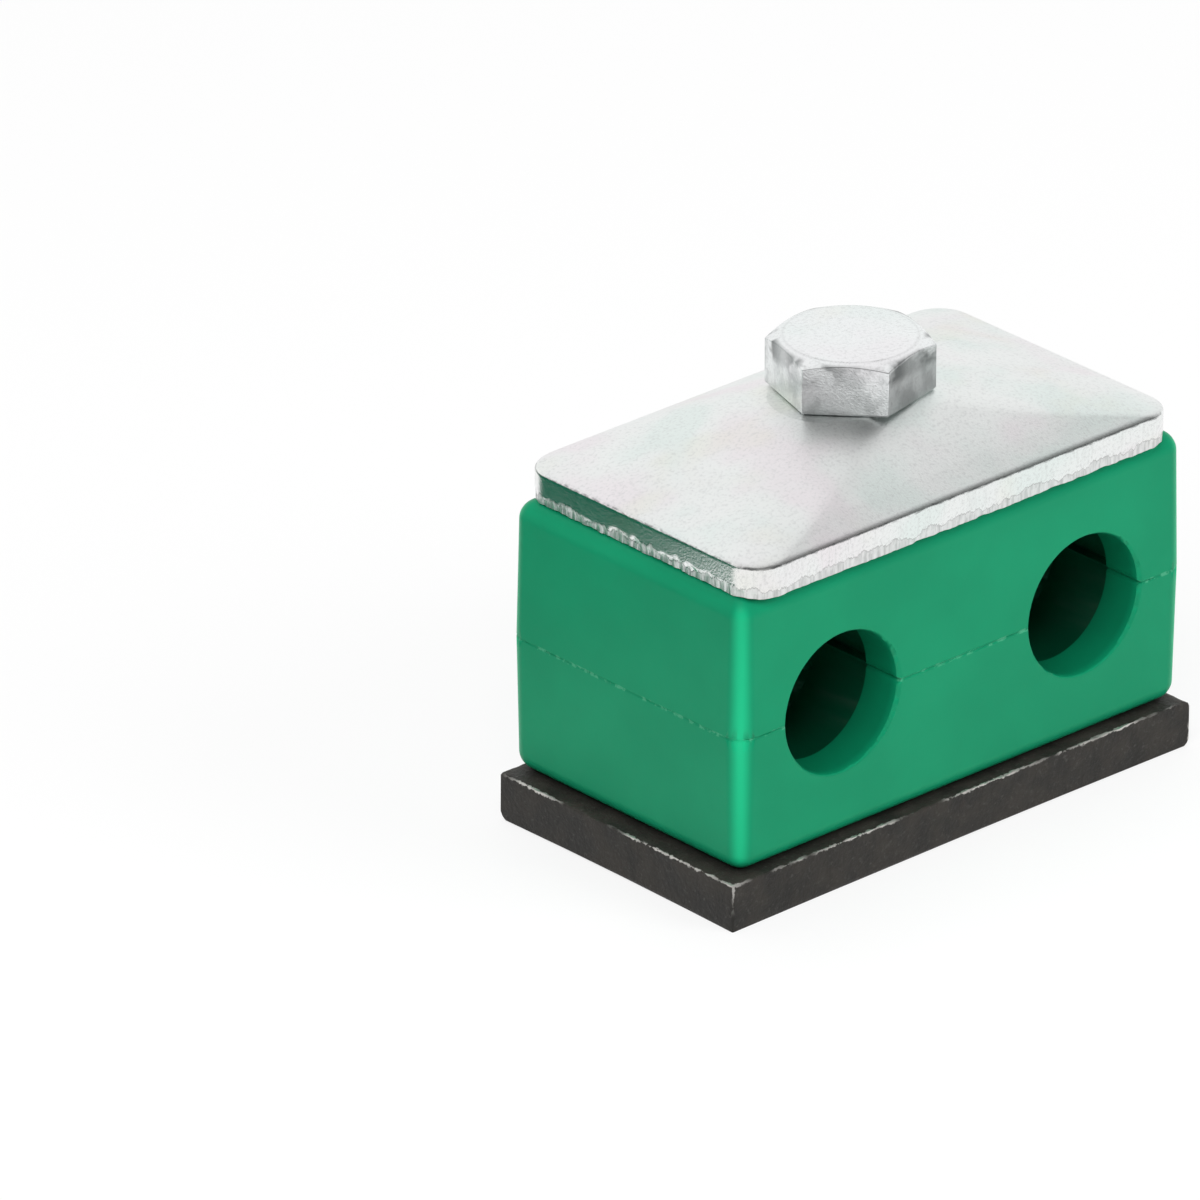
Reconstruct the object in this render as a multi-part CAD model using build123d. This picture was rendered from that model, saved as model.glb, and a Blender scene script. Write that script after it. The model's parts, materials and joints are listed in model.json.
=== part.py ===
from build123d import *
import math
import os

# Twin tube clamp on a weld plate, standard size for an M8 centre bolt.
# Z is up, X runs across the two tubes, Y runs along the tubes.
# The origin is on the underside of the weld plate, on the bolt's axis.

# ---- weld plate ----
plate_length = 55.0
plate_width = 30.0
plate_thickness = 4.5
plate_offset_x = -0.45          # the bush is welded a little off the plate's middle
plate_offset_y = -0.45
plate_corner_radius = 0.8
plate_bottom_edge_radius = 0.7
plate_top_edge_chamfer = 0.2
plate_hole_radius = 6.0
plate_countersink = 1.2

# ---- threaded bush ----
bush_collar_radius = 8.0
bush_collar_height = 6.0
bush_collar_chamfer = 0.8
bush_thread_radius = 4.0
bush_thread_lead_in = 0.6
bush_foot_recess = 0.2

# ---- moulded halves ----
half_length = 53.5
half_width = 29.8
half_height = 13.0
half_draft = 1.2                # degrees, all four sides, widest at the parting face
half_corner_radius = 1.9
half_outer_edge_radius = 1.8
half_parting_edge_chamfer = 0.15
tube_spacing = 29.0
bore_radius = 6.6               # bores when the halves meet, a little under a 13.5 mm tube
groove_edge_chamfer = 0.3       # along the parting face, beside each groove
groove_edge_overlap = 0.075     # how far the chamfer's foot reaches into the groove
mouth_land_width = 4.2
middle_land_width = 5.0
groove_relief_depth = 1.3
groove_relief_slope = 0.455      # run of the slope at each end of a relief
groove_lip_chamfer = 0.35
bolt_hole_radius = 4.6
bush_recess_clearance = 0.5
bush_recess_extra_depth = 0.5
ejector_mark_radius = 2.0
ejector_mark_depth = 0.2
ejector_mark_y = 10.2

# ---- dished cover plate ----
cover_length = 50.4
cover_width = 30.0
cover_thickness = 3.0
cover_offset_x = -0.3           # play of the cover's hole round the bolt
cover_offset_y = -0.4
cover_corner_radius = 3.0
cover_dish_height = 4.6         # from the rim's top up to the bolt's seat
cover_shoulder_level = 0.56     # share of the dish's height where its slopes ease
cover_shoulder_length = 34.8
cover_shoulder_width = 20.4
cover_shoulder_radius = 4.5
cover_seat_length = 16.0
cover_seat_width = 10.6
cover_seat_radius = 5.2
cover_foot_land = 1.3           # level land under the rim, all round
cover_top_edge_radius = 0.55
cover_hole_radius = 4.85

# ---- hexagon bolt ----
bolt_across_flats = 13.0
bolt_head_height = 5.3
bolt_head_flat_radius = 5.95
bolt_head_chamfer_angle = 35.0
bolt_head_foot_chamfer = 0.3
bolt_head_foot_spread = 3.0     # run of the foot's chamfer for each unit of rise
bolt_shank_radius = 3.95
bolt_length = 35.0
bolt_tip_chamfer = 0.9
bolt_rest_angle = 12.8          # where the head happens to stop when tight

# ---- modelling allowances ----
cutter_overshoot = 2.0          # how far a cutter reaches past the face it opens
level_tolerance = 0.01          # for picking edges that lie at one level

# ---- levels that follow from the sizes above ----
parting_z = plate_thickness + half_height
cover_rim_z = plate_thickness + 2 * half_height
bolt_seat_z = cover_rim_z + cover_thickness + cover_dish_height


def make_weld_plate():
    """Flat steel bar piece with rolled lower edges and a countersunk hole for the bush."""
    slab = Pos(plate_offset_x, plate_offset_y, 0) * Box(
        plate_length, plate_width, plate_thickness, align=(Align.CENTER, Align.CENTER, Align.MIN)
    )
    slab = fillet(slab.edges().filter_by(Axis.Z), plate_corner_radius)
    slab = fillet(slab.faces().sort_by(Axis.Z)[0].edges(), plate_bottom_edge_radius)
    slab = chamfer(slab.faces().sort_by(Axis.Z)[-1].edges(), plate_top_edge_chamfer)
    hole = Cylinder(plate_hole_radius, plate_thickness, align=(Align.CENTER, Align.CENTER, Align.MIN))
    sink = Cone(
        plate_hole_radius + plate_countersink,
        plate_hole_radius,
        plate_countersink,
        align=(Align.CENTER, Align.CENTER, Align.MIN),
    )
    return slab - hole - sink


def make_threaded_bush():
    """Turned bush: collar on the plate, spigot through it, foot swaged into the countersink."""
    foot_radius = plate_hole_radius + plate_countersink - bush_foot_recess
    top_z = plate_thickness + bush_collar_height
    with BuildPart() as bush:
        with BuildSketch(Plane.XZ):
            with BuildLine():
                Polyline(
                    (bush_thread_radius + bush_thread_lead_in, bush_foot_recess),
                    (foot_radius, bush_foot_recess),
                    (plate_hole_radius, plate_countersink),
                    (plate_hole_radius, plate_thickness),
                    (bush_collar_radius, plate_thickness),
                    (bush_collar_radius, top_z - bush_collar_chamfer),
                    (bush_collar_radius - bush_collar_chamfer, top_z),
                    (bush_thread_radius + bush_thread_lead_in, top_z),
                    (bush_thread_radius, top_z - bush_thread_lead_in),
                    (bush_thread_radius, bush_foot_recess + bush_thread_lead_in),
                    close=True,
                )
            make_face()
        revolve(axis=Axis.Z)
    return bush.part


def groove_cutter(side):
    """Stepped cutter for one tube groove: mouth lands, reliefs and the middle land."""
    x = side * tube_spacing / 2
    half_span = half_width / 2
    relief_start = middle_land_width / 2
    relief_end = half_span - mouth_land_width
    land_radius = bore_radius
    relief_radius = bore_radius + groove_relief_depth
    step = groove_relief_slope
    lip = groove_lip_chamfer
    outline = [
        (0, -half_span - cutter_overshoot),
        (land_radius + lip + cutter_overshoot, -half_span - cutter_overshoot),
        (land_radius + lip, -half_span),
        (land_radius, -half_span + lip),
        (land_radius, -relief_end),
        (relief_radius, -relief_end + step),
        (relief_radius, -relief_start - step),
        (land_radius, -relief_start),
        (land_radius, relief_start),
        (relief_radius, relief_start + step),
        (relief_radius, relief_end - step),
        (land_radius, relief_end),
        (land_radius, half_span - lip),
        (land_radius + lip, half_span),
        (land_radius + lip + cutter_overshoot, half_span + cutter_overshoot),
        (0, half_span + cutter_overshoot),
    ]
    with BuildPart() as cutter:
        with BuildSketch(Plane.XY):
            with BuildLine():
                Polyline(*outline, close=True)
            make_face()
        revolve(axis=Axis.Y)
    flare_low = land_radius - groove_edge_overlap
    flare_high = land_radius + groove_edge_chamfer
    with BuildPart() as flare:
        with BuildSketch(Plane.XZ.offset(-half_span)):
            with BuildLine():
                Polyline(
                    (-flare_low, -groove_edge_chamfer),
                    (-flare_high, 0),
                    (flare_high, 0),
                    (flare_low, -groove_edge_chamfer),
                    close=True,
                )
            make_face()
        extrude(amount=2 * half_span)
    return Pos(x, 0, half_height) * (cutter.part + flare.part)


def make_half():
    """One moulded half, parting face up, standing on z = 0; the other half is the same moulding."""
    with BuildPart() as half:
        with BuildSketch(Plane.XY.offset(half_height)):
            RectangleRounded(half_length, half_width, half_corner_radius)
        extrude(amount=-half_height, taper=half_draft)
        fillet(half.faces().sort_by(Axis.Z)[0].edges(), half_outer_edge_radius)
        chamfer(half.faces().sort_by(Axis.Z)[-1].edges(), half_parting_edge_chamfer)
    body = half.part
    for side in (-1, 1):
        body -= groove_cutter(side)
    body -= Cylinder(bolt_hole_radius, half_height, align=(Align.CENTER, Align.CENTER, Align.MIN))
    body -= Cylinder(
        bush_collar_radius + bush_recess_clearance,
        bush_collar_height + bush_recess_extra_depth,
        align=(Align.CENTER, Align.CENTER, Align.MIN),
    )
    for side in (-1, 1):
        mark = Cylinder(ejector_mark_radius, 2 * ejector_mark_depth)
        body -= Pos(0, side * ejector_mark_y, half_height) * mark
    return body


def cover_section(length, width, radius, height):
    """One level rounded rectangle of the dish."""
    return Plane.XY.offset(height) * RectangleRounded(length, width, radius)


def make_cover_plate():
    """Pressed cover: straight rim, four hipped slopes, coined seat round the hole."""
    seat_height = cover_thickness + cover_dish_height
    shoulder_height = cover_thickness + cover_dish_height * cover_shoulder_level
    plate = extrude(
        RectangleRounded(cover_length, cover_width, cover_corner_radius), amount=cover_thickness
    )
    rim = cover_section(cover_length, cover_width, cover_corner_radius, cover_thickness)
    shoulder = cover_section(
        cover_shoulder_length, cover_shoulder_width, cover_shoulder_radius, shoulder_height
    )
    seat = cover_section(cover_seat_length, cover_seat_width, cover_seat_radius, seat_height)
    plate += loft([rim, shoulder, seat], ruled=True)
    rim_edges = plate.edges().filter_by(
        lambda e: abs(e.bounding_box().min.Z - cover_thickness) < level_tolerance
        and abs(e.bounding_box().max.Z - cover_thickness) < level_tolerance
    )
    plate = fillet(rim_edges, cover_top_edge_radius)
    hollow_foot = cover_section(
        cover_length - 2 * cover_foot_land, cover_width - 2 * cover_foot_land,
        cover_corner_radius, 0
    )
    hollow_top = cover_section(
        cover_seat_length, cover_seat_width, cover_seat_radius, seat_height - cover_thickness
    )
    plate -= loft([hollow_foot, hollow_top], ruled=True)
    plate -= Cylinder(
        cover_hole_radius, 2 * seat_height, align=(Align.CENTER, Align.CENTER, Align.MIN)
    )
    return Pos(cover_offset_x, cover_offset_y, cover_rim_z) * plate


def make_hex_bolt():
    """Hexagon bolt: chamfered head on the cover's seat, shank down through the bush."""
    corner_radius = bolt_across_flats / math.sqrt(3)
    head = extrude(RegularPolygon(corner_radius, 6), amount=bolt_head_height)
    slope = math.tan(math.radians(bolt_head_chamfer_angle))
    reach = bolt_head_height / slope
    top_cone = Cone(
        bolt_head_flat_radius + reach,
        bolt_head_flat_radius,
        bolt_head_height,
        align=(Align.CENTER, Align.CENTER, Align.MIN),
    )
    foot_cone = Cone(
        corner_radius - bolt_head_foot_chamfer,
        corner_radius - bolt_head_foot_chamfer + bolt_head_foot_spread * bolt_head_height,
        bolt_head_height,
        align=(Align.CENTER, Align.CENTER, Align.MIN),
    )
    head = head & top_cone & foot_cone
    shank = Pos(0, 0, -bolt_length) * Cylinder(
        bolt_shank_radius, bolt_length, align=(Align.CENTER, Align.CENTER, Align.MIN)
    )
    shank = chamfer(shank.faces().sort_by(Axis.Z)[0].edges(), bolt_tip_chamfer)
    return Pos(0, 0, bolt_seat_z) * Rot(0, 0, bolt_rest_angle) * (head + shank)


def write(name, shape):
    shape.label = name
    export_step(shape, "parts/" + name + ".step")


def main():
    os.makedirs("parts", exist_ok=True)
    half = make_half()
    lower = Pos(0, 0, plate_thickness) * half
    upper = Pos(0, 0, parting_z + half_height) * Rot(180, 0, 0) * half
    write("weld_plate", make_weld_plate())
    write("threaded_bush", make_threaded_bush())
    write("lower_half", lower)
    write("upper_half", upper)
    write("cover_plate", make_cover_plate())
    write("hex_bolt", make_hex_bolt())


main()
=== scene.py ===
import json
import math

import bpy
from mathutils import Matrix, Vector, noise


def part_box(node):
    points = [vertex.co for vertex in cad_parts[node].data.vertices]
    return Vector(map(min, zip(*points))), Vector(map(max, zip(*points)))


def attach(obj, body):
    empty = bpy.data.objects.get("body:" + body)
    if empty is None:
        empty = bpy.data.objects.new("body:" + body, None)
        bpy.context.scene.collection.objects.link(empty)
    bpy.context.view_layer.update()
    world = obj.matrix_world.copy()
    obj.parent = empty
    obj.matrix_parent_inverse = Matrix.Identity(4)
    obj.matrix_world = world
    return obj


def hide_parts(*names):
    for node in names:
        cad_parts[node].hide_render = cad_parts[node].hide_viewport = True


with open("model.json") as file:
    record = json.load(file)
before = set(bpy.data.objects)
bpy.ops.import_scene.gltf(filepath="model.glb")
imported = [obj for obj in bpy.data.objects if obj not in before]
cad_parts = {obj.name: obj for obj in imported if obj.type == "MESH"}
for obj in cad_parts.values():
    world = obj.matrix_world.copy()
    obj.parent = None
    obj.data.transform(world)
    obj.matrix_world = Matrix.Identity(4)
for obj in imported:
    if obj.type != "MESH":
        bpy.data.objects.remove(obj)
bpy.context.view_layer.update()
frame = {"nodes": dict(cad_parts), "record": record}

bl_info = {
    "name": "Twin Tube Clamp",
    "version": (1, 0, 0),
    "blender": (4, 5, 0),
    "location": "3D View > Sidebar > Tube Clamp",
    "description": "Dresses the twin tube clamp with its detailed pieces, finishes and stage",
    "category": "Mesh",
}

MM = 0.001

# Sizes of the real pieces that more than one place in this file needs
ACROSS_FLATS = 13.0 * MM
CROWN_RADIUS = 5.95 * MM        # the flat round top inside the head's chamfer
CHAMFER_ANGLE = 24              # degrees down from that flat top
HEAD_TURN = 30 + 12.8           # degrees the head has come to rest turned
HEAD_DROP = 0.3 * MM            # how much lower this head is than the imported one
COVER_THICKNESS = 3.0 * MM
PLATE_BORE_RADIUS = 6.0 * MM
SHANK_RADIUS = 3.35 * MM


# ---------------------------------------------------------------- selection and mesh helpers

def deselect_all():
    if bpy.context.object is not None and bpy.context.object.mode != "OBJECT":
        bpy.ops.object.mode_set(mode="OBJECT")
    bpy.ops.object.select_all(action="DESELECT")


def work_on(piece):
    deselect_all()
    piece.select_set(True)
    bpy.context.view_layer.objects.active = piece


def pick_edges(piece, test):
    """Leaves the piece in edit mode with the edges chosen by their two ends."""
    work_on(piece)
    bpy.ops.object.mode_set(mode="EDIT")
    bpy.ops.mesh.select_mode(type="EDGE")
    bpy.ops.mesh.select_all(action="DESELECT")
    bpy.ops.object.mode_set(mode="OBJECT")
    corners = piece.data.vertices
    for edge in piece.data.edges:
        edge.select = test(corners[edge.vertices[0]].co, corners[edge.vertices[1]].co)
    bpy.ops.object.mode_set(mode="EDIT")


def pick_points(piece, test):
    """Leaves the piece in edit mode with the points chosen by their place."""
    work_on(piece)
    bpy.ops.object.mode_set(mode="EDIT")
    bpy.ops.mesh.select_mode(type="VERT")
    bpy.ops.mesh.select_all(action="DESELECT")
    bpy.ops.object.mode_set(mode="OBJECT")
    for point in piece.data.vertices:
        point.select = test(point.co)
    bpy.ops.object.mode_set(mode="EDIT")


def block(name, low, high):
    """A box primitive between two corners, its place already in its mesh."""
    deselect_all()
    low, high = Vector(low), Vector(high)
    bpy.ops.mesh.primitive_cube_add(size=1, location=(low + high) / 2, scale=high - low)
    piece = bpy.context.object
    piece.name = name
    bpy.ops.object.transform_apply(location=True, rotation=True, scale=True)
    return piece


def drum(name, radius, low_z, high_z, centre=(0, 0), sides=64, top_radius=None):
    """An upright cylinder or cone primitive, its place already in its mesh."""
    deselect_all()
    bpy.ops.mesh.primitive_cone_add(
        vertices=sides, radius1=radius, radius2=radius if top_radius is None else top_radius,
        depth=high_z - low_z, location=(centre[0], centre[1], (low_z + high_z) / 2),
    )
    piece = bpy.context.object
    piece.name = name
    bpy.ops.object.transform_apply(location=True, rotation=True, scale=True)
    return piece


def wrapped_grid(name, rows):
    """A grid primitive whose rows are closed rings of points, each row joined to the next."""
    deselect_all()
    across, along = len(rows[0]), len(rows)
    bpy.ops.mesh.primitive_grid_add(x_subdivisions=across, y_subdivisions=along - 1, size=1)
    piece = bpy.context.object
    piece.name = name
    bpy.ops.object.transform_apply(location=True, rotation=True, scale=True)
    for index, point in enumerate(piece.data.vertices):
        row, column = divmod(index, across + 1)
        point.co = rows[row][column % across]
    merge_points(piece, 0.0000005)
    turn_faces_out(piece)
    return piece


def rounded_ring(length, width, radius, steps=(220, 132, 20)):
    """Points round a rectangle with round corners, about its own middle, from the +X side."""
    long_steps, short_steps, corner_steps = steps
    half_x, half_y = length / 2 - radius, width / 2 - radius
    corners = ((half_x, half_y), (-half_x, half_y), (-half_x, -half_y), (half_x, -half_y))
    ring = []
    for index, (x, y) in enumerate(corners):
        start = index * math.pi / 2
        for step in range(corner_steps):
            angle = start + (step / corner_steps) * math.pi / 2
            ring.append(Vector((x + radius * math.cos(angle), y + radius * math.sin(angle))))
        leaving = start + math.pi / 2
        reach = Vector((math.cos(leaving), math.sin(leaving))) * radius
        here = Vector((x, y)) + reach
        there = Vector(corners[(index + 1) % 4]) + reach
        count = long_steps if index % 2 == 0 else short_steps
        for step in range(count):
            ring.append(here.lerp(there, step / count))
    return ring


def raised(ring, height, centre):
    return [Vector((centre.x + p.x, centre.y + p.y, height)) for p in ring]


def combine(piece, tool, operation):
    """Cuts, joins or intersects the piece with a tool, which is then thrown away."""
    work_on(piece)
    cut = piece.modifiers.new("Cut", "BOOLEAN")
    cut.operation = operation
    cut.solver = "EXACT"
    cut.object = tool
    bpy.ops.object.modifier_apply(modifier=cut.name)
    bpy.data.objects.remove(tool, do_unlink=True)
    return piece


def merge_points(piece, distance=0.000002):
    work_on(piece)
    bpy.ops.object.mode_set(mode="EDIT")
    bpy.ops.mesh.select_all(action="SELECT")
    bpy.ops.mesh.remove_doubles(threshold=distance)
    bpy.ops.object.mode_set(mode="OBJECT")


def turn_faces_out(piece):
    work_on(piece)
    bpy.ops.object.mode_set(mode="EDIT")
    bpy.ops.mesh.select_all(action="SELECT")
    bpy.ops.mesh.normals_make_consistent(inside=False)
    bpy.ops.object.mode_set(mode="OBJECT")


def merged_copy(node, name):
    """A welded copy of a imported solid, with its level areas made whole faces again."""
    piece = bpy.data.objects.new(name, frame["nodes"][node].data.copy())
    bpy.context.scene.collection.objects.link(piece)
    merge_points(piece)
    bpy.ops.object.mode_set(mode="EDIT")
    bpy.ops.mesh.select_all(action="SELECT")
    bpy.ops.mesh.dissolve_limited(angle_limit=math.radians(0.6))
    bpy.ops.object.mode_set(mode="OBJECT")
    return piece


def finish_shading(piece, angle=35):
    """Smooth over rounded places, crisp at edges, with large faces kept level."""
    work_on(piece)
    bpy.ops.object.shade_smooth_by_angle(angle=math.radians(angle))
    weighted = piece.modifiers.new("Level faces", "WEIGHTED_NORMAL")
    weighted.keep_sharp = True
    weighted.weight = 80
    bpy.ops.object.modifier_apply(modifier=weighted.name)


def hand_over(piece, body, node, material):
    """Puts the finish on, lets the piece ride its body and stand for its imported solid."""
    piece.data.materials.clear()
    piece.data.materials.append(material)
    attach(piece, body)
    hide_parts(node)


# ---------------------------------------------------------------- material helpers

class Nodes:
    """Small builder for one node tree."""

    def __init__(self, tree):
        self.tree = tree
        tree.nodes.clear()

    def add(self, kind, inputs=None, **settings):
        node = self.tree.nodes.new(kind)
        for key, value in settings.items():
            setattr(node, key, value)
        for key, value in (inputs or {}).items():
            if isinstance(value, bpy.types.NodeSocket):
                self.tree.links.new(value, node.inputs[key])
            else:
                node.inputs[key].default_value = value
        return node

    def maths(self, operation, a, b=0.0, c=0.0, clamp=False):
        node = self.add("ShaderNodeMath", {0: a, 1: b, 2: c}, operation=operation)
        node.use_clamp = clamp
        return node.outputs[0]

    def vector(self, operation, a, b=(0, 0, 0)):
        return self.add("ShaderNodeVectorMath", {0: a, 1: b}, operation=operation).outputs[0]

    def noise(self, place, scale, detail=3.0, roughness=0.5):
        node = self.add(
            "ShaderNodeTexNoise",
            {"Vector": place, "Scale": scale, "Detail": detail, "Roughness": roughness},
        )
        return node.outputs["Fac"]

    def remap(self, value, low, high, to_low=0.0, to_high=1.0):
        node = self.add(
            "ShaderNodeMapRange",
            {"Value": value, "From Min": low, "From Max": high, "To Min": to_low, "To Max": to_high},
            interpolation_type="SMOOTHSTEP",
        )
        return node.outputs["Result"]

    def mix(self, factor, a, b):
        node = self.add("ShaderNodeMix", {0: factor, 6: a, 7: b}, data_type="RGBA")
        return node.outputs[2]

    def blend(self, factor, a, b):
        node = self.add("ShaderNodeMix", {0: factor, 2: a, 3: b}, data_type="FLOAT")
        return node.outputs[0]

    def split(self, place):
        return self.add("ShaderNodeSeparateXYZ", {0: place}).outputs

    def distance(self, a, b):
        """Length of a flat vector with these two parts."""
        squares = self.maths("ADD", self.maths("MULTIPLY", a, a), self.maths("MULTIPLY", b, b))
        return self.maths("SQRT", squares)

    def facing(self, way, direction):
        node = self.add("ShaderNodeVectorMath", {0: way, 1: direction}, operation="DOT_PRODUCT")
        return node.outputs["Value"]


def new_group(name, inputs, outputs):
    """An empty shader node group with named sockets: returns it, its builder, ends."""
    group = bpy.data.node_groups.new(name, "ShaderNodeTree")
    build = Nodes(group)
    for label, kind, value in inputs:
        socket = group.interface.new_socket(label, in_out="INPUT", socket_type=kind)
        if value is not None:
            socket.default_value = value
    for label, kind in outputs:
        group.interface.new_socket(label, in_out="OUTPUT", socket_type=kind)
    entry = build.add("NodeGroupInput")
    leave = build.add("NodeGroupOutput")
    return group, build, entry.outputs, leave.inputs


FLOAT, VECTOR, COLOUR = "NodeSocketFloat", "NodeSocketVector", "NodeSocketColor"


def make_surface_grain():
    """Fine grain and broad blotches, for any finish."""
    group, n, given, out = new_group(
        "Surface grain",
        [("Place", VECTOR, None), ("Grain Scale", FLOAT, 2500.0), ("Blotch Scale", FLOAT, 120.0)],
        [("Grain", FLOAT), ("Blotch", FLOAT)],
    )
    fine = n.noise(given["Place"], given["Grain Scale"], 4.0, 0.6)
    broad = n.noise(given["Place"], given["Blotch Scale"], 3.0, 0.55)
    n.tree.links.new(n.remap(fine, 0.3, 0.7), out["Grain"])
    n.tree.links.new(n.remap(broad, 0.32, 0.68), out["Blotch"])
    return group


def make_edge_wear():
    """Bright broken wear along the edges of a block of a given centre and half size."""
    group, n, given, out = new_group(
        "Edge wear",
        [
            ("Place", VECTOR, None), ("Centre", VECTOR, None), ("Half Size", VECTOR, None),
            ("Width", FLOAT, 0.0004), ("Breakup Scale", FLOAT, 700.0), ("Cover", FLOAT, 0.5),
        ],
        [("Wear", FLOAT), ("Near Edge", FLOAT)],
    )
    off = n.vector("ABSOLUTE", n.vector("SUBTRACT", given["Place"], given["Centre"]))
    gap = n.split(n.vector("SUBTRACT", given["Half Size"], off))
    least = n.maths("MINIMUM", gap[0], gap[1])
    most = n.maths("MAXIMUM", gap[0], gap[1])
    second = n.maths("MAXIMUM", least, n.maths("MINIMUM", most, gap[2]))
    ragged = n.noise(given["Place"], given["Breakup Scale"], 5.0, 0.7)
    patchy = n.noise(given["Place"], 230.0, 2.0, 0.5)
    reach = n.maths("MULTIPLY", given["Width"], n.remap(ragged, 0.25, 0.75, 0.15, 1.9))
    near = n.maths("SUBTRACT", 1.0, n.maths("DIVIDE", second, reach), clamp=True)
    kept = n.remap(n.maths("ADD", patchy, given["Cover"]), 0.82, 1.08)
    n.tree.links.new(n.maths("MULTIPLY", n.remap(near, 0.0, 0.45), kept), out["Wear"])
    wide = n.maths("DIVIDE", second, n.maths("MULTIPLY", given["Width"], 6.0))
    n.tree.links.new(n.maths("SUBTRACT", 1.0, wide, clamp=True), out["Near Edge"])
    return group


def make_zinc_film():
    """Pale zinc plating with faint pink, green and straw tints and a fine peened grain."""
    group, n, given, out = new_group(
        "Zinc film",
        [
            ("Place", VECTOR, None), ("Base", COLOUR, (0.8, 0.82, 0.81, 1.0)),
            ("Tint", FLOAT, 0.5), ("Grain Scale", FLOAT, 2600.0),
        ],
        [("Colour", COLOUR), ("Height", FLOAT), ("Dulling", FLOAT)],
    )
    drift = n.noise(given["Place"], 110.0, 2.0, 0.5)
    other = n.noise(n.vector("ADD", given["Place"], (0.37, 0.11, 0.23)), 130.0, 2.0, 0.5)
    pink = n.maths("MULTIPLY", n.remap(drift, 0.5, 0.68), given["Tint"])
    green = n.maths("MULTIPLY", n.remap(drift, 0.5, 0.34), given["Tint"])
    straw = n.maths("MULTIPLY", n.remap(other, 0.55, 0.72), given["Tint"])
    colour = n.mix(pink, given["Base"], (0.86, 0.73, 0.80, 1.0))
    colour = n.mix(green, colour, (0.68, 0.83, 0.78, 1.0))
    colour = n.mix(n.maths("MULTIPLY", straw, 0.6), colour, (0.83, 0.82, 0.66, 1.0))
    fine = n.noise(given["Place"], given["Grain Scale"], 3.0, 0.6)
    pits = n.noise(given["Place"], 900.0, 4.0, 0.65)
    specks = n.remap(pits, 0.72, 0.80)
    peen = n.noise(given["Place"], 3300.0, 2.0, 0.55)
    colour = n.mix(n.remap(peen, 0.46, 0.74, 0.0, 0.30), colour, (0.50, 0.51, 0.51, 1.0))
    n.tree.links.new(n.mix(n.maths("MULTIPLY", specks, 0.45), colour, (0.42, 0.42, 0.41, 1)), out["Colour"])
    n.tree.links.new(n.maths("SUBTRACT", fine, n.maths("MULTIPLY", specks, 0.8)), out["Height"])
    n.tree.links.new(n.remap(other, 0.3, 0.7), out["Dulling"])
    return group


def make_torn_edge():
    """Sheared edge: burnished above a ragged line, torn and streaked below it."""
    group, n, given, out = new_group(
        "Torn edge",
        [("Place", VECTOR, None), ("Foot Z", FLOAT, 0.0), ("Line Height", FLOAT, 0.0011)],
        [("Torn", FLOAT), ("Streak", FLOAT), ("Line", FLOAT)],
    )
    place = n.split(given["Place"])
    flat = n.add("ShaderNodeCombineXYZ", {0: place[0], 1: place[1], 2: 0.0}).outputs[0]
    wander = n.noise(flat, 420.0, 5.0, 0.72)
    line = n.maths("MULTIPLY", given["Line Height"], n.remap(wander, 0.25, 0.75, 0.35, 1.65))
    above = n.maths("SUBTRACT", n.maths("SUBTRACT", place[2], given["Foot Z"]), line)
    n.tree.links.new(n.remap(above, 0.0001, -0.0001), out["Torn"])
    squashed = n.vector("MULTIPLY", given["Place"], (1.0, 1.0, 0.10))
    n.tree.links.new(n.remap(n.noise(squashed, 2600.0, 3.0, 0.6), 0.3, 0.7), out["Streak"])
    ridge = n.maths("DIVIDE", n.maths("ABSOLUTE", above), 0.00009)
    n.tree.links.new(n.maths("SUBTRACT", 1.0, ridge, clamp=True), out["Line"])
    return group


def new_material(name):
    material = bpy.data.materials.new(name)
    material.use_nodes = True
    n = Nodes(material.node_tree)
    place = n.add("ShaderNodeTexCoord").outputs["Object"]
    shader = n.add("ShaderNodeBsdfPrincipled")
    n.add("ShaderNodeOutputMaterial", {"Surface": shader.outputs[0]})
    return material, n, place, shader


def use_group(n, name, inputs):
    node = n.add("ShaderNodeGroup", node_tree=bpy.data.node_groups[name])
    for key, value in inputs.items():
        if isinstance(value, bpy.types.NodeSocket):
            n.tree.links.new(value, node.inputs[key])
        else:
            node.inputs[key].default_value = value
    return node.outputs


def set_bump(n, shader, height, strength, distance):
    bump = n.add("ShaderNodeBump", {"Strength": strength, "Distance": distance, "Height": height})
    n.tree.links.new(bump.outputs[0], shader.inputs["Normal"])


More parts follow.
